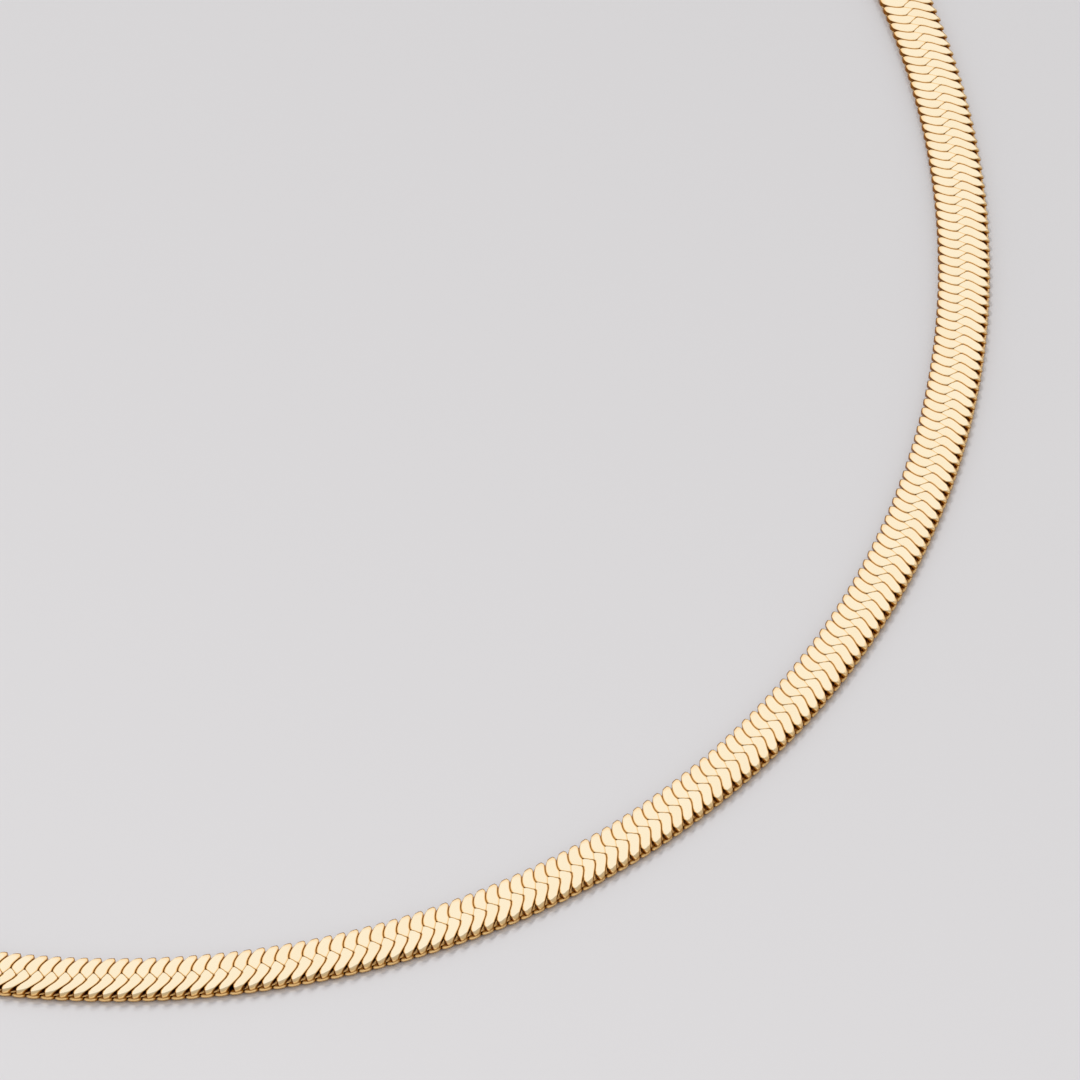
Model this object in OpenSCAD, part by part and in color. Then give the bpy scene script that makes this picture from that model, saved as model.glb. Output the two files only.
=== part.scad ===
// Flat herringbone neck chain, closed with its clasp and lying on a surface.
// Units are millimetres. The front of the loop points to -Y, the clasp to +Y, and the
// origin is under the middle of the loop's box, on the surface that the chain lies on.

/* [Band] */
// Length of the closed necklace along its middle, with the clasp
necklace_length = 457.2; // [400:0.1:560]
// Width of the flat band
band_width = 4; // [3:0.1:5]
// Thickness of the flat band
band_thickness = 0.85; // [0.7:0.05:1.2]
// Length of band that one link takes up
link_pitch = 1; // [0.9:0.05:1.4]
// Height of the lip where one link lies over the next
link_lip = 0.06; // [0.03:0.01:0.1]
// How far each link's start is tucked in behind the rounded noses at the edges
edge_tuck = 0.14; // [0.05:0.01:0.25]

/* [Lie of the loop] */
// How much longer than wide the loop lies, as a share of its mean bend radius
oval_share = 0.47; // [0.2:0.01:0.55]
// How much flatter the back's shoulders are than the front's, as a share
egg_share = 0.155; // [0.05:0.005:0.2]
// How much rounder the front and the back are than the shoulders, as a share
round_share = 0.03; // [0:0.005:0.06]
// Length of the middle line left free at the back for caps and clasp
closure_length = 18.5; // [17:0.1:24]

/* [End caps] */
// Length of an end cap without its eye
cap_length = 5.5; // [4.5:0.1:8]
// Length of band that sits in a cap
cap_seat = 3; // [2:0.1:4]
// Wall of a cap
cap_wall = 0.45; // [0.3:0.05:0.6]
// Width of a cap at its eye
cap_neck = 2.2; // [1.6:0.1:3]
// Bevel along a cap's long edges
cap_bevel = 0.3; // [0.1:0.05:0.4]
// Gap between the band and its cap
seat_gap = 0.05; // [0.03:0.01:0.1]
// Length over which the band rises from the surface to its cap
rise_length = 15; // [8:1:30]
// Diameter of an eye's wire
eye_wire = 0.5; // [0.4:0.05:0.6]
// Gap between a cap's end and the clasp ring in its eye
eye_room = 0.3; // [0.2:0.05:0.6]

/* [Clasp] */
// Gap between a clasp ring's wire and the eye around it
ring_gap = 0.125; // [0.05:0.005:0.15]
// How far a clasp ring sits back in its eye, towards the cap
ring_back = 0.08; // [0.04:0.01:0.1]
// Diameter of the hook ring's hole
hook_hole = 3.4; // [2.6:0.1:4.2]
// Diameter of the tail ring's hole
tail_hole = 1.3; // [1.2:0.05:1.8]
// Diameter of the clasp's body
shank_diameter = 1.6; // [1.2:0.1:1.8]

/* [Hidden] */
$fn = 48;

GOLD = "#e3c48e";
PALE_GOLD = "#ead0a0";

// The middle line's bend radius is a mean and three cosines of its heading, which is 0 at the
// front and 180 at the back. Without a first cosine such a line always closes.
mean_radius = necklace_length / (2 * PI);
SWINGS = [[2, -oval_share * mean_radius], [3, egg_share * mean_radius], [4, round_share * mean_radius]];

function total(list, i = 0) = i == len(list) ? 0 : list[i] + total(list, i + 1);
function bend_radius(heading) = mean_radius + total([for (w = SWINGS) w[1] * cos(w[0] * heading)]);
function run_at(heading) =
    mean_radius * heading * PI / 180 + total([for (w = SWINGS) w[1] * sin(w[0] * heading) / w[0]]);
function x_at(heading) = mean_radius * sin(heading)
    + total([for (w = SWINGS) w[1] / 2
        * (sin((w[0] + 1) * heading) / (w[0] + 1) + sin((w[0] - 1) * heading) / (w[0] - 1))]);
function y_at(heading) = -mean_radius * cos(heading)
    + total([for (w = SWINGS) w[1] / 2
        * (cos((w[0] - 1) * heading) / (w[0] - 1) - cos((w[0] + 1) * heading) / (w[0] + 1))]);

// Heading after a length of the middle line, by Newton's steps from the heading of a circle
newton_steps = 9;
function heading_at(run, guess, steps = newton_steps) = steps == 0 ? guess
    : heading_at(run, guess - (run_at(guess) - run) / bend_radius(guess) * 180 / PI, steps - 1);

// Each half of the band runs from the front to half_length, and is straight in its cap
half_length = (necklace_length - closure_length) / 2;
straight_from = half_length - cap_seat - seat_gap;
end_heading = heading_at(straight_from, straight_from / mean_radius * 180 / PI);

// A place on the middle line: x, y and heading at a length from the front, to the right if above 0
function place(run) =
    let (
        bent = max(-straight_from, min(straight_from, run)),
        heading = heading_at(bent, bent / mean_radius * 180 / PI),
        beyond = run - bent
    )
    [x_at(heading) + beyond * cos(heading), y_at(heading) + beyond * sin(heading), heading];

// The band rises to its cap in a soft S over rise_length
cap_floor = cap_wall + seat_gap;
function soft_step(t) = let (c = max(0, min(1, t))) c * c * (3 - 2 * c);
function band_floor(run) = cap_floor * soft_step((abs(run) - straight_from + rise_length) / rise_length);

// Caps and clasp: an eye is as high as its cap, and its round end holds a clasp ring's wire
cap_height = band_thickness + 2 * cap_floor;
cap_width = band_width + 2 * cap_floor;
eye_bend = (cap_height - eye_wire) / 2;
ring_wire = cap_height - 2 * eye_wire - 2 * ring_gap;
hook_radius = (hook_hole + ring_wire) / 2;
tail_radius = (tail_hole + ring_wire) / 2;
eye_leg = ring_wire / 2 + eye_room;
cap_end = place(half_length);
cap_reach = cap_length - cap_seat;
hold_run = cap_reach + eye_leg;
hold_x = cap_end[0] + hold_run * cos(end_heading);
hold_y = cap_end[1] + hold_run * sin(end_heading);
clasp_back = hold_y + hook_radius + ring_wire / 2;
band_front = y_at(0) - band_width / 2;
centre_y = (clasp_back + band_front) / 2;

// The line between two links, from the inner edge to the outer edge. Columns: place across as a
// share of half the width, lead towards the left in pitches, gap to the next link in pitches,
// height as a share of the thickness, share of the edge tuck.
ACROSS = 0;
LEAD = 1;
GAP = 2;
HEIGHT = 3;
TUCK = 4;
LINE = [
    [-1.00, 0.00, 0.22, 0.82, 1],
    [-0.22, 0.52, 0.08, 1.00, 0],
    [0.06, 1.00, 0.08, 1.00, 0],
    [0.80, 1.80, 0.16, 0.98, 0],
    [1.00, 2.05, 0.36, 0.62, 1],
    [0.97, 2.55, 0.30, 0.14, 1],
    [0.00, 1.50, 0.08, 0.00, 0],
    [-0.97, 0.50, 0.22, 0.14, 1]
];
TOP_POINTS = 5;
RING = len(LINE);
longest_lead = max([for (c = LINE) c[LEAD]]) * link_pitch;

// Links in each half, and their true pitch, so that a whole number fills the half
half_links = round(half_length / link_pitch);
true_pitch = half_length / half_links;

// Towards its ends the band's lines turn square across it, where the caps hide them
square_off_leads = 1.5;
square_off = square_off_leads * longest_lead;
function lean(run) = min(1, (half_length - abs(run)) / square_off);

// One point of a line: lip 1 is the raised end of a link, lip 0 the lower start of the next
function band_point(column, run, lip) =
    let (
        c = LINE[column],
        side = sign(c[ACROSS]),
        gap = lip == 1 ? 0 : c[GAP] * true_pitch,
        level = run + gap,
        along = level - c[LEAD] * true_pitch * lean(level),
        at = place(along),
        across = c[ACROSS] * band_width / 2 - (1 - lip) * side * c[TUCK] * edge_tuck,
        dip = (1 - lip) * link_lip * (column < TOP_POINTS ? -1 : 1),
        z = band_floor(along) + c[HEIGHT] * band_thickness + dip
    )
    [at[0] + across * sin(at[2]), at[1] - across * cos(at[2]) - centre_y, z];

function band_ring(run, lip) = [for (c = [0:RING - 1]) band_point(c, run, lip)];

// Two triangles between two neighbouring columns of two neighbouring rings. The seam across the
// middle of the band joins the knee of one line to the elbow of the next.
SEAM = 1;
function band_facet(ring, column) =
    let (
        a = ring * RING + column,
        b = ring * RING + (column + 1) % RING,
        c = a + RING,
        d = b + RING
    )
    column == SEAM ? [[a, d, b], [a, c, d]] : [[a, c, b], [b, c, d]];

// Triangles that close the band's end at a ring, top columns against under columns
END_TRIANGLES = [[0, 1, 7], [1, 6, 7], [1, 2, 6], [2, 3, 6], [3, 5, 6], [3, 4, 5]];

// A half of the band: rings at the raised end of each link and at the lower start of the next
module half_band(first_run) {
    rings = concat(
        [band_ring(first_run, 1)],
        [for (k = [0:half_links - 1], lip = [0, 1]) band_ring(first_run + (k + lip) * true_pitch, lip)]
    );
    last = (len(rings) - 1) * RING;
    polyhedron(
        points = [for (r = rings, p = r) p],
        faces = concat(
            [for (t = END_TRIANGLES) t],
            [for (r = [0:len(rings) - 2], c = [0:RING - 1], f = band_facet(r, c)) f],
            [for (t = END_TRIANGLES) [t[2] + last, t[1] + last, t[0] + last]]
        )
    );
}

module chain_right() {
    color(GOLD) half_band(0);
}

module chain_left() {
    color(GOLD) half_band(-half_length);
}

// Outline of a cap from above: full width over the band's seat, then drawn in to the neck
module cap_plan() {
    polygon([
        [-cap_seat, -cap_width / 2],
        [seat_gap, -cap_width / 2],
        [cap_reach, -cap_neck / 2],
        [cap_reach, cap_neck / 2],
        [seat_gap, cap_width / 2],
        [-cap_seat, cap_width / 2]
    ]);
}

// Section of a cap across the band, with its long edges bevelled
module cap_section() {
    polygon([
        [-cap_width / 2 + cap_bevel, 0],
        [cap_width / 2 - cap_bevel, 0],
        [cap_width / 2, cap_bevel],
        [cap_width / 2, cap_height - cap_bevel],
        [cap_width / 2 - cap_bevel, cap_height],
        [-cap_width / 2 + cap_bevel, cap_height],
        [-cap_width / 2, cap_height - cap_bevel],
        [-cap_width / 2, cap_bevel]
    ]);
}

module cap_block() {
    intersection() {
        linear_extrude(height = cap_height) cap_plan();
        translate([-cap_seat, 0, 0])
            rotate([90, 0, 90])
                linear_extrude(height = cap_length) cap_section();
    }
}

// The slot that takes the band's end, open towards the band
module cap_pocket() {
    mouth = cap_length;
    translate([-mouth, -band_width / 2 - seat_gap, cap_wall])
        cube([mouth + seat_gap, band_width + 2 * seat_gap, band_thickness + 2 * seat_gap]);
}

// Upright eye: two legs out of the cap's end and a half turn that joins them
module cap_eye() {
    root = cap_neck / 2;
    for (z = [eye_wire / 2, cap_height - eye_wire / 2])
        translate([cap_reach - root, 0, z])
            rotate([0, 90, 0])
                cylinder(h = root + eye_leg, d = eye_wire);
    translate([cap_reach + eye_leg, 0, cap_height / 2])
        rotate([90, 0, 0])
            rotate([0, 0, -90])
                rotate_extrude(angle = 180)
                    translate([eye_bend, 0])
                        circle(d = eye_wire);
}

// A cap lies along +X from the band's end at its origin
module end_cap() {
    difference() {
        union() {
            cap_block();
            cap_eye();
        }
        cap_pocket();
    }
}

module end_cap_right() {
    color(PALE_GOLD)
        translate([cap_end[0], cap_end[1] - centre_y, 0])
            rotate([0, 0, end_heading])
                end_cap();
}

module end_cap_left() {
    color(PALE_GOLD)
        mirror([1, 0, 0])
            translate([cap_end[0], cap_end[1] - centre_y, 0])
                rotate([0, 0, end_heading])
                    end_cap();
}

module clasp_ring(radius) {
    rotate_extrude()
        translate([radius, 0])
            circle(d = ring_wire);
}

// Body of the clasp between its rings: a round bar drawn in to a neck at each end.
// Columns: place along the bar as a share of its length, radius as a share of the belly's.
SHANK = [[0, 0.38], [0.3, 1], [0.8, 1], [1, 0.6]];
module clasp_shank(length) {
    outline = [for (c = SHANK) [c[1] * shank_diameter / 2, c[0] * length]];
    rotate([0, 90, 0])
        rotate_extrude()
            polygon(concat([[0, 0]], outline, [[0, length]]));
}

// Closed clasp along X: tail ring in the left cap's eye, hook ring in the right cap's eye
module clasp() {
    tail_x = -hold_x - ring_back + tail_radius;
    hook_x = hold_x + ring_back - hook_radius;
    color(PALE_GOLD)
        translate([0, hold_y - centre_y, cap_height / 2]) {
            translate([tail_x, 0, 0]) clasp_ring(tail_radius);
            translate([hook_x, 0, 0]) clasp_ring(hook_radius);
            translate([tail_x + tail_radius, 0, 0])
                clasp_shank(hook_x - hook_radius - tail_x - tail_radius);
        }
}

chain_right();
chain_left();
end_cap_right();
end_cap_left();
clasp();
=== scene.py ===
"""Looks of the flat herringbone neck chain: links, core, end caps, clasp, floor, light and camera."""

import math

import bpy
import numpy as np
from mathutils import Matrix, Vector


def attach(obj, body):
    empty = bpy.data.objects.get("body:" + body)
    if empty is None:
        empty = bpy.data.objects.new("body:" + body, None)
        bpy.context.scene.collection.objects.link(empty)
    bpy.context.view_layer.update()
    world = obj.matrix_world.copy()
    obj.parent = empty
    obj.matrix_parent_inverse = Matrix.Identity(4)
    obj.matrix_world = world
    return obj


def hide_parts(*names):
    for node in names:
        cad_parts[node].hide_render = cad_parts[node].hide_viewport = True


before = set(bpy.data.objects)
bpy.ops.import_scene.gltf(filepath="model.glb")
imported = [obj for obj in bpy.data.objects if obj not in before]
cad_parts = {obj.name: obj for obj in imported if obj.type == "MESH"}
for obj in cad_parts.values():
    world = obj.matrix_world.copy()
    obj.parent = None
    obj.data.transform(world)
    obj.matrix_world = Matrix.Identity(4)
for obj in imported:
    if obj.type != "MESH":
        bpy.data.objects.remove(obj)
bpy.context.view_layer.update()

MM = 0.001
TINY = 1e-12

# Sizes of the part, in millimetres
NECKLACE_LENGTH = 457.2
BAND_WIDTH = 4.0
BAND_THICKNESS = 0.85
LINK_PITCH = 1.0
CLOSURE_LENGTH = 18.5
CAP_LENGTH = 5.5
CAP_SEAT = 3.0
CAP_WALL = 0.45
SEAT_GAP = 0.05
RISE_LENGTH = 15.0
EYE_WIRE = 0.5
EYE_ROOM = 0.3
RING_GAP = 0.125
RING_BACK = 0.08
HOOK_HOLE = 3.4
TAIL_HOLE = 1.3
SHANK_DIAMETER = 1.6

MEAN_RADIUS = NECKLACE_LENGTH / (2 * math.pi)
SWINGS = (
    (2, -0.47 * MEAN_RADIUS),
    (3, 0.155 * MEAN_RADIUS),
    (4, 0.03 * MEAN_RADIUS),
)
HALF_LENGTH = (NECKLACE_LENGTH - CLOSURE_LENGTH) / 2
STRAIGHT_FROM = HALF_LENGTH - CAP_SEAT - SEAT_GAP
HALF_LINKS = round(HALF_LENGTH / LINK_PITCH)
PITCH = HALF_LENGTH / HALF_LINKS
EDGE = BAND_WIDTH / 2
CAP_FLOOR = CAP_WALL + SEAT_GAP
CAP_HEIGHT = BAND_THICKNESS + 2 * CAP_FLOOR


# The middle line of the band

def run_at(heading):
    """Length from the front: mean radius times heading, plus each swing times sin(n heading) over n."""
    return MEAN_RADIUS * heading + sum(size * np.sin(n * heading) / n for n, size in SWINGS)


def bend_radius(heading):
    """Mean radius plus each swing times cos(n heading)."""
    return MEAN_RADIUS + sum(size * np.cos(n * heading) for n, size in SWINGS)


NEWTON_STEPS = 9


def heading_at(run):
    """Newton's steps on run_at, from the heading of a circle of the mean radius."""
    heading = run / MEAN_RADIUS
    for _ in range(NEWTON_STEPS):
        heading = heading - (run_at(heading) - run) / bend_radius(heading)
    return heading


def x_at(heading):
    """Integral of the bend radius times cos(heading)."""
    return MEAN_RADIUS * np.sin(heading) + sum(
        size / 2 * (np.sin((n + 1) * heading) / (n + 1) + np.sin((n - 1) * heading) / (n - 1))
        for n, size in SWINGS
    )


def y_at(heading):
    """Integral of the bend radius times sin(heading)."""
    return -MEAN_RADIUS * np.cos(heading) + sum(
        size / 2 * (np.cos((n - 1) * heading) / (n - 1) - np.cos((n + 1) * heading) / (n + 1))
        for n, size in SWINGS
    )


def middle_line(run):
    """x, y and heading at a length from the front; straight past the start of the caps."""
    bent = np.clip(run, -STRAIGHT_FROM, STRAIGHT_FROM)
    heading = heading_at(bent)
    beyond = run - bent
    x = x_at(heading) + beyond * np.cos(heading)
    y = y_at(heading) + beyond * np.sin(heading)
    return x, y, heading


END_X, END_Y, END_HEADING = (float(v) for v in middle_line(np.array(HALF_LENGTH)))
RING_WIRE = CAP_HEIGHT - 2 * EYE_WIRE - 2 * RING_GAP
HOOK_RADIUS = (HOOK_HOLE + RING_WIRE) / 2
TAIL_RADIUS = (TAIL_HOLE + RING_WIRE) / 2
EYE_BEND = (CAP_HEIGHT - EYE_WIRE) / 2
EYE_LEG = RING_WIRE / 2 + EYE_ROOM
CAP_REACH = CAP_LENGTH - CAP_SEAT
HOLD_X = END_X + (CAP_REACH + EYE_LEG) * math.cos(END_HEADING)
HOLD_Y = END_Y + (CAP_REACH + EYE_LEG) * math.sin(END_HEADING)
FRONT_Y = float(y_at(np.array(0.0))) - EDGE
CENTRE_Y = (HOLD_Y + HOOK_RADIUS + RING_WIRE / 2 + FRONT_Y) / 2


def soft_step(t):
    """3 t squared minus 2 t cubed, held between 0 and 1."""
    c = np.clip(t, 0, 1)
    return c * c * (3 - 2 * c)


def on_band(run, across, height):
    """Row points in metres: a place on the middle line, moved across towards the outside of the
    loop, and lifted by height over the band's floor, which rises to the caps in a soft step."""
    x, y, heading = middle_line(run)
    lift = CAP_FLOOR * soft_step((np.abs(run) - STRAIGHT_FROM + RISE_LENGTH) / RISE_LENGTH)
    x = x + across * np.sin(heading)
    y = y - across * np.cos(heading) - CENTRE_Y
    return np.stack([x, y, height + lift], axis=-1) * MM


# Mesh making

def full_turn(count):
    """Angles of evenly spaced points round a circle."""
    return np.linspace(0, 2 * np.pi, count, endpoint=False)


def new_piece(name, points, faces, material, strips, attributes=None):
    """A mesh object from points and faces. Each corner's normal is the sum of the normals, times
    the areas, of the faces of its own strip that meet there, so that a strip is smooth along
    itself, broad faces look flat and the rims between strips stay crisp."""
    mesh = bpy.data.meshes.new(name)
    mesh.from_pydata(points, [], faces)
    mesh.update()
    for key, values in (attributes or {}).items():
        layer = mesh.attributes.new(key, "FLOAT", "POINT")
        layer.data.foreach_set("value", np.ascontiguousarray(values, dtype=np.float32))
    mesh.polygons.foreach_set("use_smooth", np.ones(len(mesh.polygons), dtype=bool))
    mesh.materials.append(material)
    corners = np.empty(len(mesh.loops), dtype=np.int32)
    mesh.loops.foreach_get("vertex_index", corners)
    areas = np.empty(len(mesh.polygons), dtype=np.float32)
    mesh.polygons.foreach_get("area", areas)
    directions = np.empty(len(mesh.polygons) * 3, dtype=np.float32)
    mesh.polygons.foreach_get("normal", directions)
    counts = np.empty(len(mesh.polygons), dtype=np.int32)
    mesh.polygons.foreach_get("loop_total", counts)
    weighted = np.repeat(directions.reshape(-1, 3) * areas[:, None] / MM ** 2, counts, axis=0)
    kinds = int(np.max(strips)) + 1
    place = corners * kinds + np.repeat(strips, counts)
    sums = np.zeros((len(points) * kinds, 3))
    np.add.at(sums, place, weighted)
    sums /= np.maximum(np.linalg.norm(sums, axis=1, keepdims=True), TINY)
    mesh.normals_split_custom_set(sums[place].tolist())
    piece = bpy.data.objects.new(name, mesh)
    bpy.context.scene.collection.objects.link(piece)
    return piece


def tube_faces(copies, rows, columns, closed_rows=False):
    """Faces of tubes laid out as copies x rows x columns points: quads round each tube, and a
    polygon at each end unless the rows close on themselves."""
    row = np.arange(rows if closed_rows else rows - 1)[:, None]
    column = np.arange(columns)[None, :]
    beyond = (row + 1) % rows
    beside = (column + 1) % columns
    quads = np.stack(
        [
            row * columns + column,
            beyond * columns + column,
            beyond * columns + beside,
            row * columns + beside,
        ],
        axis=-1,
    ).reshape(-1, 4)
    start = (np.arange(copies) * rows * columns)[:, None, None]
    faces = (quads[None] + start).reshape(-1, 4).tolist()
    if not closed_rows:
        first = np.arange(columns)
        last = (rows - 1) * columns + np.arange(columns)[::-1]
        ends = np.stack([first, last])
        faces += (ends[None] + start).reshape(-1, columns).tolist()
    return faces


def turned_out(points, faces):
    """The faces, all reversed if the volume that they enclose comes out below 0."""
    quads = np.array([f for f in faces if len(f) == 4])
    p = points[quads]
    volume = np.einsum("ij,ij->i", p[:, 0], np.cross(p[:, 1], p[:, 2])).sum()
    volume += np.einsum("ij,ij->i", p[:, 0], np.cross(p[:, 2], p[:, 3])).sum()
    return faces if volume > 0 else [f[::-1] for f in faces]


# The lines between links: how far they run ahead, in pitches, at places across the band

KNEE = -0.45
ELBOW = 0.20
NOSE_AT = 1.70
INNER_LEAD = -0.30
KNEE_LEAD = 0.51
ELBOW_LEAD = 0.92
NOSE_LEAD = 2.04
INNER_SLOPE = 0.75
ELBOW_SLOPE = 0.30
NOSE_SLOPE = 0.62
# The lead at which an outer tile's left side stops leaning, and the roundness of that bend
TIP_LEAD = 1.70
BEND_ROUND = 0.012
BEND_BACK = 0.004
# Towards the band's ends the lines turn square over one and a half times their whole lead
WHOLE_LEAD = 2.55
SQUARE_OFF = 1.5 * WHOLE_LEAD * LINK_PITCH


def curved(x, x0, x1, y0, y1, slope0, slope1):
    """Cubic between two points with a slope at each: a soft step from the first height to the
    second, plus the span times the first slope times t (1 - t) squared, less the span times the
    second slope times t squared (1 - t)."""
    t = np.clip((x - x0) / (x1 - x0), 0, 1)
    rise = (x1 - x0) * (slope0 * t * (1 - t) ** 2 - slope1 * t * t * (1 - t))
    return y0 + (y1 - y0) * soft_step(t) + rise


def lead(across):
    """How far a line between links runs ahead towards the left, in pitches: a cubic from the inner
    edge to the knee, a straight piece to the elbow and a cubic on towards the outer edge."""
    inner = curved(across, -EDGE, KNEE, INNER_LEAD, KNEE_LEAD, INNER_SLOPE, 0.0)
    middle = KNEE_LEAD + (ELBOW_LEAD - KNEE_LEAD) * (across - KNEE) / (ELBOW - KNEE)
    outer = curved(across, ELBOW, NOSE_AT, ELBOW_LEAD, NOSE_LEAD, ELBOW_SLOPE, NOSE_SLOPE)
    past = NOSE_SLOPE * np.maximum(across - NOSE_AT, 0) + INNER_SLOPE * np.minimum(across + EDGE, 0)
    return np.where(across < KNEE, inner, np.where(across < ELBOW, middle, outer)) + past


def bend_at_tip(beyond):
    """Half the sum of the value and the root of its square plus the roundness, set back a little:
    about 0 below 0 and about the value itself above, with a round bend between them."""
    return 0.5 * (beyond + np.sqrt(beyond ** 2 + BEND_ROUND)) - BEND_BACK


# The outlines of the tiles. A place w across a tile runs from 0 at its left to 1 at its right.
# Corners: the place where one starts, the place where it ends, how far it draws the edge back
# there in millimetres, and the power that rounds it.

OUTER_FOOT_RIGHT = (0.84, 1.00, 0.09, 2)
INNER_FOOT_LEFT = (0.20, 0.00, 0.13, 2)
INNER_FOOT_RIGHT = (0.84, 1.00, 0.05, 2)
OUTER_FACE_LEFT = (0.34, 0.00, 0.22, 2)
OUTER_FACE_CUT = (0.00, 1.00, 0.33, 1)
OUTER_NOSE_LEFT = (0.38, 0.00, 0.26, 2)
OUTER_NOSE_CUT = (0.00, 1.00, 0.12, 1.5)
OUTER_NOSE_RIGHT = (0.72, 1.00, 0.07, 2)
INNER_NOSE_LEFT = (0.25, 0.00, 0.40, 2.5)
INNER_NOSE_CUT = (0.50, 0.00, 0.03, 1)
INNER_NOSE_RIGHT = (0.55, 1.00, 0.40, 2)
UNDER_NOSE_LEFT = (0.50, 0.00, 0.10, 2.4)
UNDER_NOSE_RIGHT = (0.50, 1.00, 0.10, 2.4)

# Distances in from the band's edge, and widths of the rims between a face's end and a tip
OUTER_FACE_IN = 0.21
OUTER_NOSE_IN = 0.03
INNER_NOSE_IN = 0.005
INNER_RIM = 0.20
UNDER_NOSE_IN = 0.13
UNDER_RIM = 0.26


def drawn_back(w, *corners):
    """The sum over the corners: size times a power of the share of the way through the corner."""
    return sum(
        size * np.clip((w - start) / (end - start), 0, 1) ** power
        for start, end, size, power in corners
    )


def seam(w):
    """Place across of the seam, straight from the knee of one line to the elbow of the next."""
    return KNEE + (ELBOW - KNEE) * w


def outer_foot(w):
    """Start of an outer tile at the seam, drawn back in a round corner at the elbow on its right."""
    return seam(w) + drawn_back(w, OUTER_FOOT_RIGHT)


def inner_foot(w):
    """Start of an inner tile at the seam, drawn back in a round corner at the knee on its left and
    full at the elbow on its right, where it closes up to the round corner of the outer tile."""
    return seam(w) - drawn_back(w, INNER_FOOT_LEFT) + drawn_back(w, INNER_FOOT_RIGHT)


def outer_face(w):
    """Place across where an outer tile's face ends: a round corner at its left, then a straight
    cut back to its right."""
    return EDGE - OUTER_FACE_IN - drawn_back(w, OUTER_FACE_LEFT, OUTER_FACE_CUT)


def outer_nose(w):
    """Place across of an outer tile's outermost line, past the facet below its face: a round
    corner at each side and a curved cut back to its right."""
    return EDGE - OUTER_NOSE_IN - drawn_back(w, OUTER_NOSE_LEFT, OUTER_NOSE_CUT, OUTER_NOSE_RIGHT)


def inner_nose(w):
    """Place across of an inner tile's tip: a round finger, flatter at its left."""
    return drawn_back(w, INNER_NOSE_LEFT, INNER_NOSE_CUT, INNER_NOSE_RIGHT) + INNER_NOSE_IN - EDGE


def inner_face(w):
    """Place across where an inner tile's face ends, a rim's width before its tip."""
    return inner_nose(w) + INNER_RIM


def under_nose(w):
    """Place across of an under tile's tip: an even, shallow round bump."""
    return EDGE - UNDER_NOSE_IN - drawn_back(w, UNDER_NOSE_LEFT, UNDER_NOSE_RIGHT)


def under_face(w):
    """Place across where an under tile's face ends and its round nose begins."""
    return under_nose(w) - UNDER_RIM


# The links' tiles

# Section of a tile across its width. Columns: place from its left to its right as a share,
# depth under its face in millimetres, painted crevice shade.
WALL = 0.28
SECTION = np.array([
    [0.00, WALL, 1.60],
    [0.00, 0.040, 1.00],
    [0.16, 0.006, 0.00],
    [0.36, 0.001, 0.00],
    [0.64, 0.001, 0.00],
    [0.85, 0.006, 0.00],
    [1.00, 0.036, 1.00],
    [1.00, WALL, 1.60],
])
# Strips of the faces round the section, which are smooth each in itself: walls 1, top 0, back 2
SECTION_STRIPS = (1, 0, 0, 0, 0, 0, 1, 2)
END_STRIP = 3

# A tile along its length. Columns: place as a share, 0 at the seam, 1 at the end of the face and 2
# at the tip; distance past it in millimetres; depth of the path; tilt of the face in degrees;
# share of full width; painted crevice shade.
OUTER_ROWS = np.array([
    [0.00, 0.006, 0.020, 0, 1.00, 0.92],
    [0.00, 0.095, 0.001, 0, 1.00, 0.00],
    [0.27, 0.000, 0.000, 0, 1.00, 0.00],
    [0.34, 0.000, 0.000, 0, 1.00, 0.00],
    [0.50, 0.000, 0.000, 0, 1.00, 0.00],
    [0.74, 0.000, 0.000, 0, 1.00, 0.00],
    [0.88, 0.000, 0.000, 0, 1.00, 0.00],
    [1.00, -0.020, 0.000, 3, 1.00, 0.04],
    [1.28, 0.000, 0.022, 24, 1.00, 0.36],
    [1.85, 0.000, 0.130, 46, 0.98, 0.52],
    [2.00, 0.000, 0.300, 88, 0.93, 0.75],
])
INNER_ROWS = np.array([
    [0.00, 0.006, 0.020, 0, 1.00, 0.92],
    [0.00, 0.095, 0.001, 0, 1.00, 0.00],
    [0.36, 0.000, 0.000, 0, 1.00, 0.00],
    [0.44, 0.000, 0.000, 0, 1.00, 0.00],
    [0.58, 0.000, 0.000, 0, 1.00, 0.00],
    [0.80, 0.000, 0.000, 0, 1.00, 0.00],
    [1.00, 0.000, 0.002, 4, 1.00, 0.30],
    [1.32, 0.000, 0.009, 12, 1.00, 0.56],
    [1.78, 0.000, 0.040, 38, 0.99, 0.82],
    [2.00, 0.000, 0.300, 88, 0.92, 0.66],
])
UNDER_ROWS = np.array([
    [0.00, 0.012, 0.018, 0, 1.00, 0.60],
    [0.35, 0.000, 0.000, 0, 1.00, 0.05],
    [0.68, 0.000, 0.000, 0, 1.00, 0.05],
    [1.00, 0.000, 0.012, 12, 1.00, 0.20],
    [1.62, 0.000, 0.085, 45, 1.00, 0.56],
    [2.00, 0.000, 0.250, 90, 0.99, 0.54],
    [1.72, 0.000, 0.380, 135, 0.95, 0.54],
    [1.00, 0.000, 0.450, 165, 0.85, 1.30],
])

# Place of the links along the band, in pitches
PHASE = 0.46
UNDER_SHIFT = 0.02
WANDER = 0.13
WANDER_LINK = 105
WANDER_LINKS = 269

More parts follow.
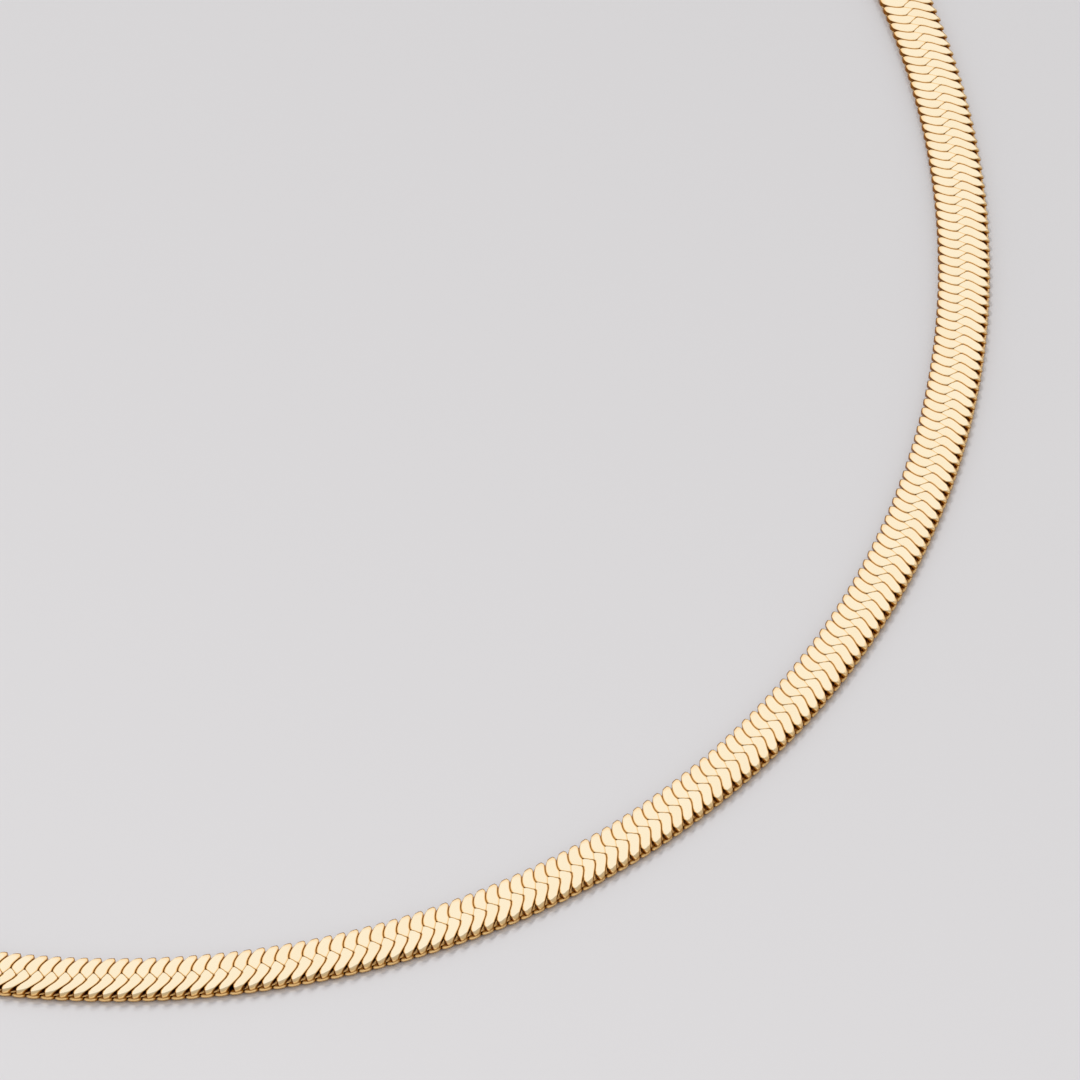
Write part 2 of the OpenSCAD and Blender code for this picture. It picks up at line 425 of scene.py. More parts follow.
# Fit of the tiles, in millimetres except the shares. A tile narrows about its middle. The lines
# open by a share of a pitch towards the band's edges. Faces lie a little under the band's top, and
# each tile's left side lies lower by the lip.
TILE_MIDDLE = 0.46
LINE_GAP = 0.006
UPPER_OPENING = 0.06
UNDER_OPENING = 0.02
OPENING_FROM = 1.5
OPENING_OVER = 0.5
SEAM_DEPTH = 0.01
FACE_UNDER_TOP = 0.012
LIP = 0.03
TIP_SCATTER = 0.002
TWIST_SCATTER = 0.005
END_GAP = 0.02

# Where tiles of the two rows lie flush side by side: up to which share of the tile's length, and
# how far past the elbow
OUTER_JOINED = (0.60, -0.02)
INNER_JOINED = (0.40, 0.06)
PAST_KNEE = 0.01

# Painted crevice shade: the most on under tiles, except on their upper side, which lies past a depth
# of their path; the least on a flush side of an inner tile; and the factor of the painted shade at
# the left of an inner tile's tip, with its fall to the right
UNDER_SHADE = 0.80
UNDER_TOP = 0.40
FLUSH_SHADE = 0.66
TIP_SHADE = 1.42
TIP_FADE = 0.60


def wander(number):
    """Slow drift of the links along the band, in pitches: minus a cosine of the link's number."""
    return -WANDER * np.cos(2 * np.pi * (number - WANDER_LINK) / WANDER_LINKS)


def joined(share, place, middle, side):
    """Whether a point of a tile lies on the piece of line between knee and elbow, which is the left
    side of an outer tile and the right side of an inner one."""
    last_share, past_elbow = OUTER_JOINED if side > 0 else INNER_JOINED
    beside = place < 0.5 if side > 0 else place > 0.5
    between = (middle > KNEE + PAST_KNEE) & (middle < ELBOW + past_elbow)
    return beside & between & (share < last_share)


def tile_outline(w, side, under):
    """Places across where a tile starts at the seam, where its face ends and where its tip is."""
    foot = outer_foot(w) if side > 0 else inner_foot(w)
    if under:
        return foot, side * under_face(w), side * under_nose(w)
    if side > 0:
        return foot, outer_face(w), outer_nose(w)
    return foot, inner_face(w), inner_nose(w)


def tile_along(numbers, w, across, flush, side, under):
    """Places along the band in millimetres: the link's number with its drift, plus the place w
    between the tile's two cuts, less the lead of the line at that place across, which fades to 0 at
    the band's ends. A cut is the gap between links plus an opening towards the band's edges. An
    outer tile's left side stops leaning at its own lead instead, which opens a V beside it."""
    most_open = UNDER_OPENING if under else UPPER_OPENING
    opening = most_open * np.clip((np.abs(across) - OPENING_FROM) / OPENING_OVER, 0, 1)
    right_cut = LINE_GAP * flush + opening
    left_cut = right_cut
    if side > 0 and not under:
        left_cut = LINE_GAP * flush + bend_at_tip(lead(across) - TIP_LEAD)
    shift = PHASE + (UNDER_SHIFT if under else 0.0)
    number = (numbers + wander(numbers) + shift)[:, None, None]
    level = (number + left_cut + w * (1 - left_cut - right_cut)) * PITCH
    lean = np.clip((HALF_LENGTH - np.abs(level)) / SQUARE_OFF, 0, 1)
    along = level - lead(across) * PITCH * lean
    return np.clip(along, -HALF_LENGTH + END_GAP, HALF_LENGTH - END_GAP)


def painted_shade_on_tile(painted_shade_amount, share, path_depth, w, side, under):
    """The painted crevice shade, held at a most on under tiles except on their upper side, and times a
    factor on an inner tile's tip that falls from its left to its right."""
    if under:
        return np.where(path_depth > UNDER_TOP, painted_shade_amount, np.minimum(painted_shade_amount, UNDER_SHADE))
    if side < 0:
        return np.where(share > 1.0, painted_shade_amount * (TIP_SHADE - TIP_FADE * w), painted_shade_amount)
    return painted_shade_amount


def tile_points(numbers, side, rows, under, seed):
    """Points of one tile per link number, as copies x rows x columns, and their painted crevice shades and
    tones. The section is carried from the seam over the end of the face to the tip, turned down with
    the path's tilt. Beside the piece of line between knee and elbow the faces lie flush. Under tiles
    hang the other way up."""
    share, past, path_depth, tilt, full, shade = (rows[:, i][None, :, None] for i in range(6))
    place, depth, rim = (SECTION[:, i][None, None, :] for i in range(3))
    w = TILE_MIDDLE + (place - TILE_MIDDLE) * full
    foot, face, nose = tile_outline(w, side, under)
    middle = foot + np.minimum(share, 1) * (face - foot) + np.maximum(share - 1, 0) * (nose - face)
    middle = middle + side * past
    flush = np.where(joined(share, place, middle, side), 0.0, 1.0)
    drop = np.where(depth < WALL, depth * flush, WALL)
    at_seam = (share == 0) & (path_depth > SEAM_DEPTH)
    angle = np.radians(tilt)
    low = path_depth + drop * np.where(at_seam, 1 - path_depth / WALL, np.cos(angle))
    across = middle - side * drop * np.sin(angle)
    along = tile_along(numbers, w, across, flush, side, under)
    chance = np.random.default_rng(seed)
    tip = chance.normal(0, TIP_SCATTER, (len(numbers), 1, 1))
    twist = chance.normal(0, TWIST_SCATTER, (len(numbers), 1, 1))
    height = BAND_THICKNESS - FACE_UNDER_TOP - low + (LIP + twist) * (w - 1.0) + tip * np.minimum(share, 1)
    height = np.minimum(height, BAND_THICKNESS)
    if under:
        height = BAND_THICKNESS - height
    points = on_band(*np.broadcast_arrays(along, across, height))
    # Painted crevice shade of each point, from the rows' and the section's shades
    lined = flush if side > 0 else np.maximum(flush, FLUSH_SHADE)
    painted_shade_amount = painted_shade_on_tile(np.maximum(shade, rim) * lined, share, path_depth, w, side, under)
    painted_shade_amount = np.broadcast_to(painted_shade_amount, along.shape)
    tone = np.repeat(chance.random(len(numbers)), rows.shape[0] * SECTION.shape[0])
    return points, painted_shade_amount, tone


def tiles(name, numbers, side, rows, under, seed, material):
    """One piece of many tiles, in one piece of mesh."""
    points, painted_shade_amount, tone = tile_points(numbers, side, rows, under, seed)
    flat = points.reshape(-1, 3)
    faces = turned_out(flat, tube_faces(len(numbers), rows.shape[0], SECTION.shape[0]))
    round_strips = np.tile(SECTION_STRIPS, (rows.shape[0] - 1) * len(numbers))
    strips = np.concatenate([round_strips, np.full(2 * len(numbers), END_STRIP)])
    # Each point's painted crevice shade and random tone, as attributes
    attributes = {"painted_crevice_shade": painted_shade_amount.reshape(-1), "tone": tone}
    return new_piece(name, flat, faces, material, strips, attributes)


CORE_HALF_WIDTH = 1.62
CORE_HALF_THICKNESS = 0.13
CORE_SIDES = 12
CORE_POWER = 0.6
# The core's painted crevice shade and its even tone
CORE_SHADE = 0.62
CORE_TONE = 0.5
CORE_END_GAP = 0.3


def squared_up(value):
    """A power of the value's size, with the value's own sign."""
    return np.sign(value) * np.abs(value) ** CORE_POWER


def core(name, first, last, material):
    """The flat inner layers between upper and lower tiles: a rounded oblong section, made of powers
    of cosine and sine, carried along the middle line, one row every half pitch, its ends closed."""
    run = np.linspace(first, last, HALF_LINKS * 2 + 1)[:, None]
    turn = full_turn(CORE_SIDES)[None, :]
    across = CORE_HALF_WIDTH * squared_up(np.cos(turn))
    height = BAND_THICKNESS / 2 + CORE_HALF_THICKNESS * squared_up(np.sin(turn))
    points = on_band(*np.broadcast_arrays(run, across, height))
    flat = points.reshape(-1, 3)
    faces = turned_out(flat, tube_faces(1, points.shape[0], points.shape[1]))
    # An even painted crevice shade over the core
    attributes = {"painted_crevice_shade": np.full(len(flat), CORE_SHADE), "tone": np.full(len(flat), CORE_TONE)}
    return new_piece(name, flat, faces, material, np.zeros(len(faces), dtype=int), attributes)


# The caps and the clasp

# A cap along its length, from the end of its pocket out over the mouth rim and on to the neck.
# Columns: place along from the band's end, half width, half height, radius of the corners.
POCKET_WIDTH = EDGE + SEAT_GAP
POCKET_HEIGHT = BAND_THICKNESS / 2 + SEAT_GAP
CAP_ROWS = np.array([
    [0.05, POCKET_WIDTH, POCKET_HEIGHT, 0.10],
    [-1.40, POCKET_WIDTH, POCKET_HEIGHT, 0.10],
    [-2.86, POCKET_WIDTH, POCKET_HEIGHT, 0.10],
    [-2.96, 2.09, 0.515, 0.14],
    [-3.00, 2.18, 0.600, 0.20],
    [-3.00, 2.34, 0.765, 0.34],
    [-2.96, 2.45, 0.875, 0.42],
    [-2.86, 2.50, 0.925, 0.45],
    [-2.58, 2.50, 0.925, 0.45],
    [-2.47, 2.475, 0.900, 0.43],
    [-2.42, 2.430, 0.855, 0.40],
    [-2.32, 2.420, 0.845, 0.39],
    [-2.20, 2.440, 0.860, 0.40],
    [-1.60, 2.455, 0.875, 0.41],
    [-0.80, 2.460, 0.880, 0.42],
    [-0.20, 2.450, 0.880, 0.42],
    [0.10, 2.39, 0.880, 0.42],
    [0.45, 2.24, 0.880, 0.43],
    [0.85, 2.01, 0.875, 0.44],
    [1.25, 1.76, 0.870, 0.46],
    [1.65, 1.51, 0.860, 0.50],
    [2.00, 1.31, 0.845, 0.54],
    [2.25, 1.18, 0.820, 0.60],
    [2.40, 1.08, 0.760, 0.62],
    [2.48, 0.96, 0.660, 0.60],
    [2.50, 0.80, 0.520, 0.50],
])
CORNER_POINTS = 7

# A leg of the eye. Columns: place along from the end of the neck, share of the bend's radius.
EYE_LEGS = np.array([
    [-0.80, 0.40],
    [-0.45, 0.62],
    [-0.22, 0.78],
    [-0.04, 0.91],
    [0.14, 0.98],
    [0.30, 1.00],
])
EYE_POINTS = 19
WIRE_SIDES = 20

# The clasp's rings: points round, play in the eyes, and the swelling towards the shank
RING_POINTS = 72
RING_PLAY = 0.005
RING_SWELL = 0.10

# The shank's profile. Columns: share of its length, share of its radius.
SHANK_ROWS = np.array([
    [-0.02, 0.20], [0.00, 0.36], [0.04, 0.46], [0.09, 0.54], [0.11, 0.66], [0.14, 0.72], [0.17, 0.66],
    [0.19, 0.60], [0.26, 0.76], [0.36, 0.90], [0.48, 0.98], [0.60, 1.00], [0.72, 0.97], [0.82, 0.88],
    [0.87, 0.80], [0.89, 0.86], [0.92, 0.90], [0.95, 0.86], [0.97, 0.72], [1.00, 0.60], [1.02, 0.30],
])
SHANK_SIDES = 32


def rounded_box(half_width, half_height, corner):
    """Across and up for points round an oblong with round corners: each corner's centre plus the
    corner's radius times the cosine and sine of the turn."""
    quarters = np.arange(4)[:, None] * 90.0
    turn = np.radians(quarters + np.linspace(0, 90, CORNER_POINTS)[None, :]).reshape(-1)
    side = np.repeat([1, -1, -1, 1], CORNER_POINTS)
    way = np.repeat([1, 1, -1, -1], CORNER_POINTS)
    across = side * (half_width - corner) + corner * np.cos(turn)
    up = way * (half_height - corner) + corner * np.sin(turn)
    return across, up


def from_cap(along, across, up, way):
    """Row points in metres from places along, across and up from the middle of a cap at the band's
    end: turned by the end's heading, moved to the end, and mirrored for the left one."""
    cosine = math.cos(END_HEADING)
    sine = math.sin(END_HEADING)
    x = END_X + along * cosine - across * sine
    y = END_Y - CENTRE_Y + along * sine + across * cosine
    return np.stack([way * x, y, up + CAP_HEIGHT / 2], axis=-1) * MM


def solid(name, rows, material, closed_rows=False):
    """One piece from rows x columns points round a tube, smooth along itself and flat at its ends."""
    flat = rows.reshape(-1, 3)
    faces = turned_out(flat, tube_faces(1, rows.shape[0], rows.shape[1], closed_rows))
    strips = np.zeros(len(faces), dtype=int)
    if not closed_rows:
        strips[-2:] = 1
    return new_piece(name, flat, faces, material, strips)


def cap(name, way, material):
    """A folded cap: the rounded oblong of CAP_ROWS carried along from its pocket to its neck."""
    along, half_width, half_height, corner = (CAP_ROWS[:, i][:, None] for i in range(4))
    across, up = rounded_box(half_width, half_height, corner)
    along = np.broadcast_to(along, across.shape)
    return solid(name, from_cap(along, across, up, way), material)


def wire(middles, outward, level, radius):
    """Points round a wire: its middle line, plus its radius times the cosine of the turn in the
    outward direction and the sine in the level one."""
    turn = full_turn(WIRE_SIDES)[None, :, None]
    reach = radius[:, None, None]
    return middles[:, None, :] + reach * (np.cos(turn) * outward[:, None, :] + np.sin(turn) * level)


def eye_wire(name, way, material):
    """The upright eye of a cap: a leg out of the neck, a half circle and a leg back, in the plane
    along and up. The legs draw together inside the neck."""
    turn = np.radians(np.linspace(-90, 90, EYE_POINTS))
    far = CAP_REACH + EYE_LEG
    leg = CAP_REACH + EYE_LEGS[:, 0]
    rise = EYE_BEND * EYE_LEGS[:, 1]
    along = np.concatenate([leg, far + EYE_BEND * np.cos(turn), leg[::-1]])
    up = np.concatenate([-rise, EYE_BEND * np.sin(turn), rise[::-1]])
    straight = np.zeros_like(leg)
    out_along = np.concatenate([straight, np.cos(turn), straight])
    out_up = np.concatenate([straight - 1, np.sin(turn), straight + 1])
    middles = np.stack([along, np.zeros_like(along), up], axis=-1)
    outward = np.stack([out_along, np.zeros_like(along), out_up], axis=-1)
    points = wire(middles, outward, np.array([0.0, 1.0, 0.0]), np.full(len(along), EYE_WIRE / 2))
    return solid(name, from_cap(points[..., 0], points[..., 1], points[..., 2], way), material)


def clasp_ring(name, middle_x, radius, toward, material):
    """A flat-lying ring of wire, thickened towards the shank by the square of the cosine."""
    turn = full_turn(RING_POINTS)
    outward = np.stack([np.cos(turn), np.sin(turn), np.zeros_like(turn)], axis=-1)
    middles = outward * radius + np.array([middle_x, HOLD_Y - CENTRE_Y, CAP_HEIGHT / 2])
    swelling = RING_SWELL * np.clip(toward * np.cos(turn), 0, 1) ** 2
    thickness = RING_WIRE / 2 - RING_PLAY + swelling
    points = wire(middles, outward, np.array([0.0, 0.0, 1.0]), thickness)
    return solid(name, points * MM, material, closed_rows=True)


def shank(name, first_x, length, material):
    """The clasp's round body between its rings: the profile turned round the line along X."""
    turn = full_turn(SHANK_SIDES)[None, :]
    share = SHANK_ROWS[:, 0][:, None]
    size = SHANK_ROWS[:, 1][:, None] * SHANK_DIAMETER / 2
    x = first_x + share * length
    y = HOLD_Y - CENTRE_Y + size * np.cos(turn)
    z = CAP_HEIGHT / 2 + size * np.sin(turn)
    return solid(name, np.stack(np.broadcast_arrays(x, y, z), axis=-1) * MM, material)


# Materials

GOLD_LIGHT = (0.903, 0.782, 0.568)
GOLD_DEEP = (0.884, 0.742, 0.512)
# Painted shade colours: a warm painted shade where faces turn down, a dark one in crevices and a darker
# one in hollows
PAINTED_EDGE_SHADE = (0.90, 0.58, 0.24)
PAINTED_CREVICE_SHADE = (0.34, 0.12, 0.010)
PAINTED_HOLLOW_SHADE = (0.13, 0.040, 0.010)
# Painted shade amounts at which the painted edge shade, crevice shade and hollow shade begin, and at which
# they are full
EDGE_SHADES = (0.08, 0.56)
CREVICE_SHADES = (0.52, 0.76)
HOLLOW_SHADES = (0.95, 1.40)
# How far the roughness varies over the gold, and the depth of its polishing marks in metres
POLISH_SPREAD = 0.08
POLISH_DEPTH = 0.00001
# The table's painted light near the front and painted shade to the back and right, the direction in
# which one turns into the other, where along it in metres, and how far its cloudiness moves the tone
TABLE_PAINTED_LIGHT = (0.784, 0.771, 0.786)
TABLE_PAINTED_SHADE = (0.678, 0.667, 0.679)
TABLE_SLANT = (0.72, 1.0, 0.0)
TABLE_FALL = (-0.13, 0.08)
TABLE_CLOUD = 0.06


def socket(group, name, kind, way, value=None):
    """A named input or output of a node group."""
    made = group.interface.new_socket(name=name, in_out=way, socket_type=kind)
    if value is not None:
        made.default_value = value


def added(nodes, kind, inputs=None, **settings):
    """A new node with its settings and the plain values of its inputs."""
    node = nodes.new(kind)
    for key, value in settings.items():
        setattr(node, key, value)
    for key, value in (inputs or {}).items():
        node.inputs[key].default_value = value
    return node


def share_between(nodes, start, end):
    """A node that gives the share of a value's way from start to end, held between 0 and 1."""
    return added(nodes, "ShaderNodeMapRange", {"From Min": start, "From Max": end})


def polish_group():
    """Marks of polishing: a fine grain, soft cloudiness and a low height for a bump.
    The roughness is the plain one plus the spread times the marks' mean less a half."""
    group = bpy.data.node_groups.new("polish_marks", "ShaderNodeTree")
    socket(group, "Vector", "NodeSocketVector", "INPUT")
    socket(group, "Fineness", "NodeSocketFloat", "INPUT", 9000.0)
    socket(group, "Roughness", "NodeSocketFloat", "INPUT", 0.16)
    socket(group, "Spread", "NodeSocketFloat", "INPUT", POLISH_SPREAD)
    socket(group, "Roughness", "NodeSocketFloat", "OUTPUT")
    socket(group, "Height", "NodeSocketFloat", "OUTPUT")
    nodes, links = group.nodes, group.links
    inlet = nodes.new("NodeGroupInput")
    outlet = nodes.new("NodeGroupOutput")
    fine = added(nodes, "ShaderNodeTexNoise", {"Detail": 3.0, "Roughness": 0.6})
    cloud = added(nodes, "ShaderNodeTexNoise", {"Scale": 260.0, "Detail": 2.0})
    both = added(nodes, "ShaderNodeMath", operation="ADD")
    half = added(nodes, "ShaderNodeMath", {1: 0.5}, operation="MULTIPLY")
    centred = added(nodes, "ShaderNodeMath", {1: 0.5}, operation="SUBTRACT")
    spread = added(nodes, "ShaderNodeMath", operation="MULTIPLY_ADD")
    links.new(inlet.outputs["Vector"], fine.inputs["Vector"])
    links.new(inlet.outputs["Vector"], cloud.inputs["Vector"])
    links.new(inlet.outputs["Fineness"], fine.inputs["Scale"])
    links.new(fine.outputs["Fac"], both.inputs[0])
    links.new(cloud.outputs["Fac"], both.inputs[1])
    links.new(both.outputs[0], half.inputs[0])
    links.new(half.outputs[0], centred.inputs[0])
    links.new(centred.outputs[0], spread.inputs[0])
    links.new(inlet.outputs["Spread"], spread.inputs[1])
    links.new(inlet.outputs["Roughness"], spread.inputs[2])
    links.new(spread.outputs[0], outlet.inputs["Roughness"])
    links.new(fine.outputs["Fac"], outlet.inputs["Height"])
    return group


def tone_group():
    """Colour of the gold: a light and a deep tone mixed per link and by soft clouds, then painted
    shade: a warm painted shade where the faces turn down, a dark one in the crevices and a darker one in
    the hollows."""
    group = bpy.data.node_groups.new("gold_tone_painted_shade", "ShaderNodeTree")
    socket(group, "Vector", "NodeSocketVector", "INPUT")
    socket(group, "Light", "NodeSocketColor", "INPUT", (*GOLD_LIGHT, 1))
    socket(group, "Deep", "NodeSocketColor", "INPUT", (*GOLD_DEEP, 1))
    # The painted shade colours, and the painted shade amount that picks among them
    socket(group, "Painted_Edge_Shade", "NodeSocketColor", "INPUT", (*PAINTED_EDGE_SHADE, 1))
    socket(group, "Painted_Crevice_Shade", "NodeSocketColor", "INPUT", (*PAINTED_CREVICE_SHADE, 1))
    socket(group, "Depth", "NodeSocketFloat", "INPUT", 0.0)
    socket(group, "Tone", "NodeSocketFloat", "INPUT", 0.5)
    socket(group, "Color", "NodeSocketColor", "OUTPUT")
    nodes, links = group.nodes, group.links
    inlet = nodes.new("NodeGroupInput")
    outlet = nodes.new("NodeGroupOutput")
    cloud = added(nodes, "ShaderNodeTexNoise", {"Scale": 420.0, "Detail": 3.0})
    mottle = added(nodes, "ShaderNodeMath", operation="MULTIPLY")
    turned = share_between(nodes, *EDGE_SHADES)
    sunk = share_between(nodes, *CREVICE_SHADES)
    hollow = share_between(nodes, *HOLLOW_SHADES)
    face_tone = added(nodes, "ShaderNodeMix", data_type="RGBA")
    # Mixes of the painted edge, crevice and hollow shade over the gold's own tone
    edge_shade_mix = added(nodes, "ShaderNodeMix", data_type="RGBA")
    crevice_shade_mix = added(nodes, "ShaderNodeMix", data_type="RGBA")
    hollow_shade_mix = added(nodes, "ShaderNodeMix", {"B": (*PAINTED_HOLLOW_SHADE, 1)}, data_type="RGBA")
    links.new(inlet.outputs["Vector"], cloud.inputs["Vector"])
    links.new(cloud.outputs["Fac"], mottle.inputs[0])
    links.new(inlet.outputs["Tone"], mottle.inputs[1])
    links.new(mottle.outputs[0], face_tone.inputs["Factor"])
    links.new(inlet.outputs["Light"], face_tone.inputs["A"])
    links.new(inlet.outputs["Deep"], face_tone.inputs["B"])
    links.new(inlet.outputs["Depth"], turned.inputs["Value"])
    links.new(turned.outputs["Result"], edge_shade_mix.inputs["Factor"])
    links.new(face_tone.outputs["Result"], edge_shade_mix.inputs["A"])
    links.new(inlet.outputs["Painted_Edge_Shade"], edge_shade_mix.inputs["B"])
    links.new(inlet.outputs["Depth"], sunk.inputs["Value"])
    links.new(sunk.outputs["Result"], crevice_shade_mix.inputs["Factor"])
    links.new(edge_shade_mix.outputs["Result"], crevice_shade_mix.inputs["A"])
    links.new(inlet.outputs["Painted_Crevice_Shade"], crevice_shade_mix.inputs["B"])
    links.new(inlet.outputs["Depth"], hollow.inputs["Value"])
    links.new(hollow.outputs["Result"], hollow_shade_mix.inputs["Factor"])
    links.new(crevice_shade_mix.outputs["Result"], hollow_shade_mix.inputs["A"])
    links.new(hollow_shade_mix.outputs["Result"], outlet.inputs["Color"])
    return group


POLISH = polish_group()
GOLD_TONE_AND_SHADE = tone_group()


def gold(name, roughness, fineness, bump, reads_painted_shade):
    """Polished gold. With the flag set, it reads the piece's own painted crevice shade and tone
    attributes.
    """
    material = bpy.data.materials.new(name)
    material.use_nodes = True
    nodes, links = material.node_tree.nodes, material.node_tree.links
    shader = nodes["Principled BSDF"]
    shader.inputs["Metallic"].default_value = 1.0
    place = nodes.new("ShaderNodeTexCoord")
    tone = added(nodes, "ShaderNodeGroup", node_tree=GOLD_TONE_AND_SHADE)
    tone.inputs["Light"].default_value = (*GOLD_LIGHT, 1)
    tone.inputs["Deep"].default_value = (*GOLD_DEEP, 1)
    tone.inputs["Painted_Edge_Shade"].default_value = (*PAINTED_EDGE_SHADE, 1)
    tone.inputs["Painted_Crevice_Shade"].default_value = (*PAINTED_CREVICE_SHADE, 1)
    polish = added(nodes, "ShaderNodeGroup", node_tree=POLISH)
    polish.inputs["Fineness"].default_value = fineness
    polish.inputs["Roughness"].default_value = roughness
    polish.inputs["Spread"].default_value = POLISH_SPREAD
    relief = added(nodes, "ShaderNodeBump", {"Strength": bump, "Distance": POLISH_DEPTH})
    links.new(place.outputs["Object"], tone.inputs["Vector"])
    links.new(place.outputs["Object"], polish.inputs["Vector"])
    # Painted crevice shade and random tone are read from the piece's attributes
    if reads_painted_shade:
        for key, goal in (("painted_crevice_shade", "Depth"), ("tone", "Tone")):
            mark = added(nodes, "ShaderNodeAttribute", attribute_name=key)
            links.new(mark.outputs["Fac"], tone.inputs[goal])
    links.new(tone.outputs["Color"], shader.inputs["Base Color"])
    links.new(polish.outputs["Roughness"], shader.inputs["Roughness"])
    links.new(polish.outputs["Height"], relief.inputs["Height"])
    links.new(relief.outputs["Normal"], shader.inputs["Normal"])
    return material


# The links' gold carries the painted crevice shade; the fittings' gold does not
LINK_GOLD_PAINTED_SHADE = gold("link_gold_painted_shade", roughness=0.17, fineness=9000.0, bump=0.25, reads_painted_shade=True)
FITTING_GOLD = gold("fitting_gold_polish", roughness=0.12, fineness=7000.0, bump=0.15, reads_painted_shade=False)


def floor_material():
    """Pale smooth table top with a painted light fall-off, a little darker to the back and right: colour
    by the place along one slanting direction, plus a faint cloudiness."""
    material = bpy.data.materials.new("pale_table")
    material.use_nodes = True
    nodes, links = material.node_tree.nodes, material.node_tree.links
    shader = nodes["Principled BSDF"]
    shader.inputs["Roughness"].default_value = 0.18
    shader.inputs["Specular IOR Level"].default_value = 0.9
    place = nodes.new("ShaderNodeTexCoord")
    cloud = added(nodes, "ShaderNodeTexNoise", {"Scale": 9.0})
    slant = added(nodes, "ShaderNodeVectorMath", {1: TABLE_SLANT}, operation="DOT_PRODUCT")
    fall = share_between(nodes, *TABLE_FALL)
    blend = added(nodes, "ShaderNodeMath", {1: TABLE_CLOUD}, operation="MULTIPLY_ADD")
    # Painted light fall-off: lighter near the front, darker to the back and right
    ramp = nodes.new("ShaderNodeValToRGB")
    ramp.color_ramp.elements[0].color = (*TABLE_PAINTED_LIGHT, 1)
    ramp.color_ramp.elements[1].color = (*TABLE_PAINTED_SHADE, 1)
    links.new(place.outputs["Object"], cloud.inputs["Vector"])
    links.new(place.outputs["Object"], slant.inputs[0])
    links.new(slant.outputs["Value"], fall.inputs["Value"])
    links.new(cloud.outputs["Fac"], blend.inputs[0])
    links.new(fall.outputs["Result"], blend.inputs[2])
    links.new(blend.outputs[0], ramp.inputs["Fac"])
    links.new(ramp.outputs["Color"], shader.inputs["Base Color"])
    return material


# The band's pieces

# Columns: name, side of the band, rows, whether it is an under tile, seed of its scatter
TILE_KINDS = (
    ("upper_tiles_outer", 1, OUTER_ROWS, False, 11),
    ("upper_tiles_inner", -1, INNER_ROWS, False, 21),
    ("lower_tiles_outer", 1, UNDER_ROWS, True, 31),
    ("lower_tiles_inner", -1, UNDER_ROWS, True, 41),
)
# Columns: name, link numbers, first and last place along the band
HALVES = (
    ("right", np.arange(0, HALF_LINKS), 0.0, HALF_LENGTH),
    ("left", np.arange(-HALF_LINKS, 0), -HALF_LENGTH, 0.0),
)
for index, (half, numbers, first, last) in enumerate(HALVES):
    made = [
        tiles(f"{kind}_{half}", numbers, side, rows, under, seed + index, LINK_GOLD_PAINTED_SHADE)
        for kind, side, rows, under, seed in TILE_KINDS
    ]
    made.append(core(f"core_{half}", first + CORE_END_GAP, last - CORE_END_GAP, LINK_GOLD_PAINTED_SHADE))
    for piece in made:
        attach(piece, "root")
    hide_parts(f"chain_{half}")

TAIL_X = -HOLD_X - RING_BACK + TAIL_RADIUS
HOOK_X = HOLD_X + RING_BACK - HOOK_RADIUS
SHANK_FROM = TAIL_X + TAIL_RADIUS
SHANK_LENGTH = HOOK_X - HOOK_RADIUS - SHANK_FROM
cap_right = cap("cap_right", 1, FITTING_GOLD)
eye_right = eye_wire("eye_right", 1, FITTING_GOLD)
cap_left = cap("cap_left", -1, FITTING_GOLD)
eye_left = eye_wire("eye_left", -1, FITTING_GOLD)
clasp_shank = shank("clasp_shank", SHANK_FROM, SHANK_LENGTH, FITTING_GOLD)
tail_ring = clasp_ring("clasp_tail_ring", TAIL_X, TAIL_RADIUS, 1, FITTING_GOLD)
hook_ring = clasp_ring("clasp_hook_ring", HOOK_X, HOOK_RADIUS, -1, FITTING_GOLD)
for piece in (cap_right, eye_right, cap_left, eye_left, clasp_shank, tail_ring, hook_ring):
    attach(piece, "root")
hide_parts("end_cap_right")
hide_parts("end_cap_left")
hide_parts("clasp")


# Floor, light and camera

# Half the side of the square table top, in metres
TABLE_HALF = 4
# The camera, as fitted to the photo: the point and the level direction that it looks in, its
# distance, its angle down, its roll, and its sensor and lens in millimetres
TARGET = Vector((26.169, -42.607, 0.0)) * MM
LOOK = Vector((0.053705, 0.998557, 0.0))
DISTANCE = 1021.317 * MM
ELEVATION = math.radians(43.0623)
ROLL = math.radians(-4.3639)
SENSOR_WIDTH = 36.0
FOCAL_LENGTH = 467.36


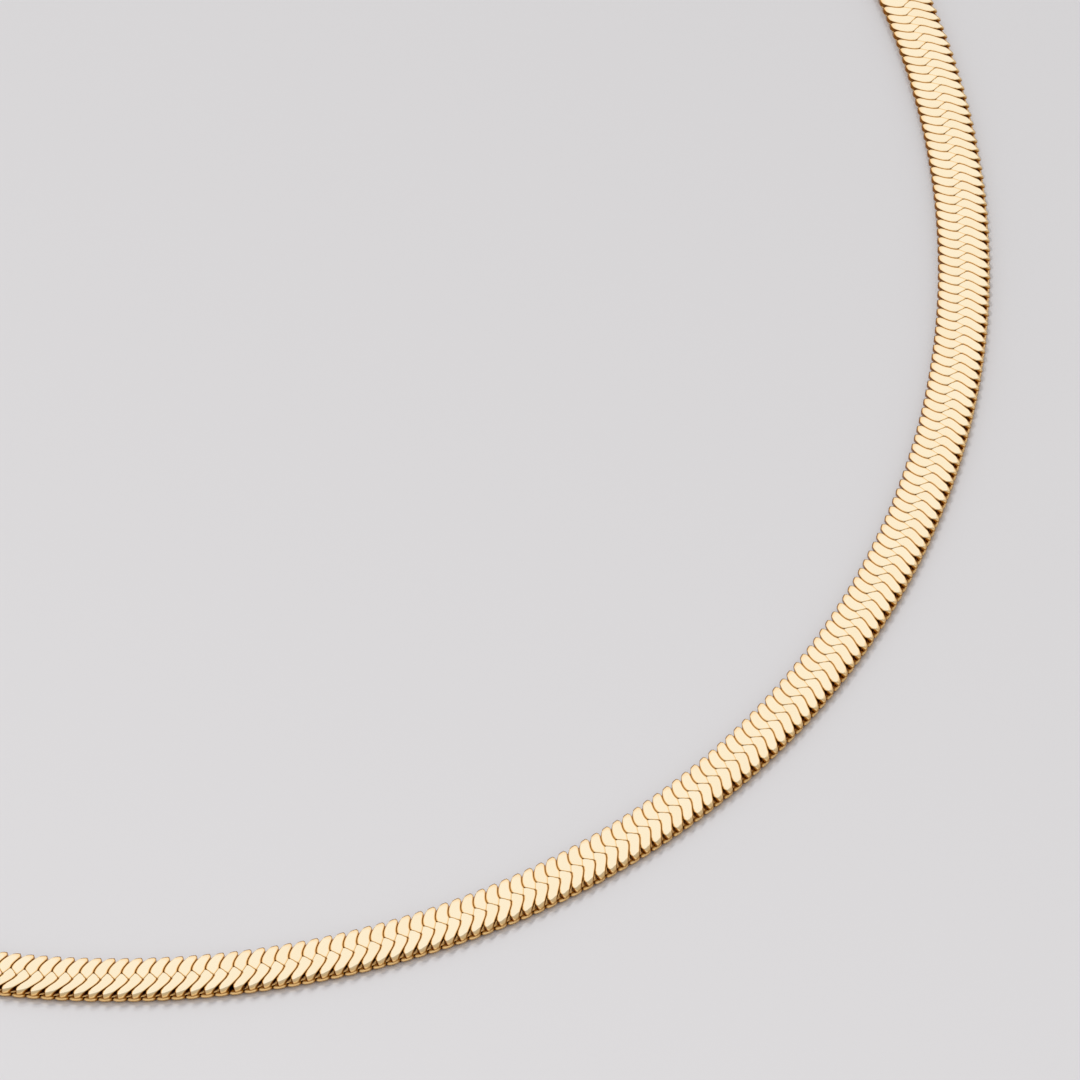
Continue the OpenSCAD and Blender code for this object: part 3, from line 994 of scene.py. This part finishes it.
def panel(name, offset, size, radiance, lights_table, shows_in_gold):
    """A soft light panel at an offset from the target, which it faces. Its power is its radiance
    times pi times its area."""
    lamp = bpy.data.lights.new(name, "AREA")
    lamp.shape = "RECTANGLE"
    lamp.size, lamp.size_y = size
    lamp.energy = radiance * math.pi * size[0] * size[1]
    holder = bpy.data.objects.new(name, lamp)
    place = TARGET + offset
    holder.location = place
    holder.rotation_euler = (TARGET - place).to_track_quat("-Z", "Y").to_euler()
    holder.visible_diffuse = lights_table
    holder.visible_glossy = shows_in_gold
    bpy.context.scene.collection.objects.link(holder)


corners = [(x * TABLE_HALF, y * TABLE_HALF, 0) for x, y in ((-1, -1), (1, -1), (1, 1), (-1, 1))]
floor_mesh = bpy.data.meshes.new("table_top")
floor_mesh.from_pydata(corners, [], [(0, 1, 2, 3)])
floor_mesh.materials.append(floor_material())
floor = bpy.data.objects.new("table_top", floor_mesh)
bpy.context.scene.collection.objects.link(floor)

world = bpy.data.worlds.new("studio")
world.use_nodes = True
world.node_tree.nodes["Background"].inputs["Color"].default_value = (1.0, 0.99, 0.985, 1)
world.node_tree.nodes["Background"].inputs["Strength"].default_value = 0.60
bpy.context.scene.world = world

panel("back_panel", LOOK * 1.0 + Vector((0, 0, 0.76)), (3.6, 1.3), 0.50, False, True)
panel("front_panel", LOOK * -1.7 + Vector((0, 0, 0.45)), (4.4, 0.90), 0.40, False, True)
panel("fill_panel", Vector((0.0, -0.2, 1.6)), (1.8, 1.8), 0.40, True, False)
panel("window_panel", Vector((-0.75, 1.75, 3.2)), (0.6, 0.6), 28.1, True, False)

forward = LOOK * math.cos(ELEVATION) - Vector((0, 0, math.sin(ELEVATION)))
level_right = forward.cross(Vector((0, 0, 1))).normalized()
level_up = level_right.cross(forward)
right = level_right * math.cos(ROLL) + level_up * math.sin(ROLL)
up = level_up * math.cos(ROLL) - level_right * math.sin(ROLL)
lens = bpy.data.cameras.new("camera")
lens.sensor_width = SENSOR_WIDTH
lens.sensor_fit = "HORIZONTAL"
lens.lens = FOCAL_LENGTH
lens.clip_start = 0.01
lens.clip_end = 20.0
camera = bpy.data.objects.new("camera", lens)
bpy.context.scene.collection.objects.link(camera)
turn = Matrix((right, up, -forward)).transposed().to_4x4()
camera.matrix_world = Matrix.Translation(TARGET - forward * DISTANCE) @ turn
bpy.context.scene.camera = camera
bpy.context.scene.view_settings.view_transform = "Standard"
